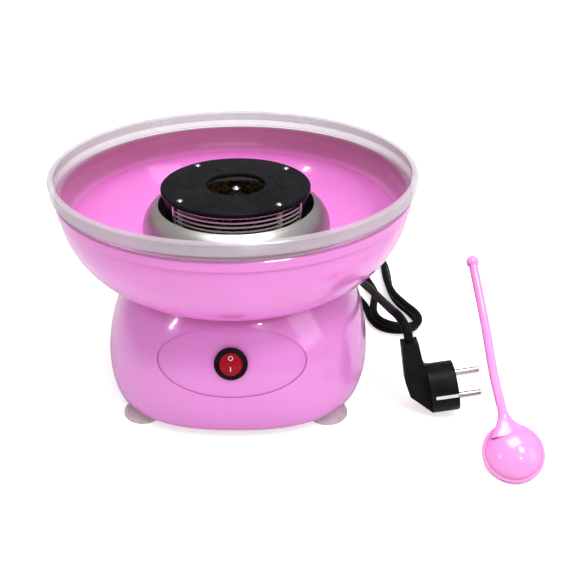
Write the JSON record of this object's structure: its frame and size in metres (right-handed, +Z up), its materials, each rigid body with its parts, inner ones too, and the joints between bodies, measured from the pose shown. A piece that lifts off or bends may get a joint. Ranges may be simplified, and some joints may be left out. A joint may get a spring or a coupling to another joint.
{
  "type": "cotton candy machine",
  "caption": "Table-top cotton candy machine with a round floss bowl, clear guard ring, black spinner in a domed heat shield, rocker switch, suction feet, mains lead and sugar scoop.",
  "frame": {"origin": "on the floor, in the middle of the front left suction foot; the spinner axis is at x 0.0685, y 0.0685", "axes": "+Z up, parallel to the spinner axis; the switch faces -Y; the mains lead, plug and scoop are on the +X side"},
  "size_m": [0.3421, 0.3251, 0.172],
  "materials": {
    "pink_housing": "gloss",
    "pink_bowl": "gloss",
    "pink_scoop": "gloss",
    "clear_guard": "frosted",
    "clear_rubber": "satin",
    "black_plastic": "satin",
    "red_key": "gloss",
    "steel": "satin",
    "bright_steel": "polished",
    "motor_steel": "satin",
    "magnet": "matt",
    "laminations": "satin",
    "copper": "enamelled",
    "carbon": "matt",
    "bronze": "sintered",
    "fan_plastic": "satin",
    "isolator_rubber": "matt",
    "board": "satin",
    "component": "satin",
    "block_plastic": "matt",
    "wire_sleeve": "satin",
    "fuse_metal": "satin",
    "heater_steel": "heat tinted",
    "ceramic": "matt",
    "shield_aluminium": "satin",
    "black_enamel": "satin",
    "window_aluminium": "satin",
    "brass_ring": "heat tinted",
    "cord_rubber": "satin"
  },
  "bodies": {
    "base": {"base_housing": "pink_housing", "bottom_cover": "pink_housing", "cover_screws": "steel", "suction_feet": "clear_rubber", "strain_relief": "cord_rubber", "switch_body": "black_plastic", "switch_terminals": "bronze", "motor_can": "motor_steel", "motor_end_cap": "black_plastic", "motor_bearings": "bronze", "motor_magnets": "magnet", "motor_brushes": "carbon", "motor_bracket": "steel", "bracket_isolators": "isolator_rubber", "bracket_screws": "steel", "motor_screws": "steel", "control_board": "board", "rectifier_diodes": "component", "noise_capacitor": "component", "terminal_block": "block_plastic", "terminal_screws": "steel", "thermal_fuse": "fuse_metal", "inner_wires": "wire_sleeve", "heater_tray": "steel", "tray_screws": "steel", "heater_ring": "heater_steel", "heater_bushings": "ceramic", "heater_supports": "ceramic", "support_screws": "steel", "heat_shield": "shield_aluminium", "shield_screws": "steel", "power_cord": "cord_rubber", "plug_body": "black_plastic", "plug_pins": "bright_steel", "earth_clips": "bright_steel"},
    "rocker": {"switch_rocker": "red_key"},
    "drive": {"motor_rotor": "laminations", "rotor_windings": "copper", "motor_commutator": "copper", "motor_shaft": "bright_steel", "drive_pin": "bright_steel", "cooling_fan": "fan_plastic"},
    "spinner": {"spinner_pan": "black_enamel", "spinner_band": "black_enamel", "window_posts": "window_aluminium", "spinner_plate": "black_enamel", "spinner_spacers": "steel", "spinner_rivets": "bright_steel", "sugar_ring": "brass_ring", "spinner_hub": "black_enamel", "hub_nut": "bright_steel", "hub_screws": "steel"},
    "bowl": {"floss_bowl": "pink_bowl"},
    "guard": {"clear_guard": "clear_guard"},
    "scoop": {"sugar_scoop": "pink_scoop"}
  },
  "joints": [
    {"name": "motor_spin", "type": "hinge", "parent": "base", "child": "drive", "pos_m": [0.0685, 0.0685, 0.08], "axis": [0, 0, 1], "continuous": true},
    {"name": "spinner_lift", "type": "slide", "parent": "drive", "child": "spinner", "axis": [0, 0, 1], "range_m": [0, 0.06]},
    {"name": "bowl_lift", "type": "slide", "parent": "base", "child": "bowl", "axis": [0, 0, 1], "range_m": [0, 0.09]},
    {"name": "guard_lift", "type": "slide", "parent": "bowl", "child": "guard", "axis": [0, 0, 1], "range_m": [0, 0.06]},
    {"name": "rocker_tip", "type": "hinge", "parent": "base", "child": "rocker", "pos_m": [0.0685, -0.02655, 0.06369], "axis": [1, 0, 0], "range_deg": [0, 20]},
    {"name": "scoop_lift", "type": "slide", "parent": "base", "child": "scoop", "axis": [0, 0, 1], "range_m": [0, 0.12]}
  ]
}
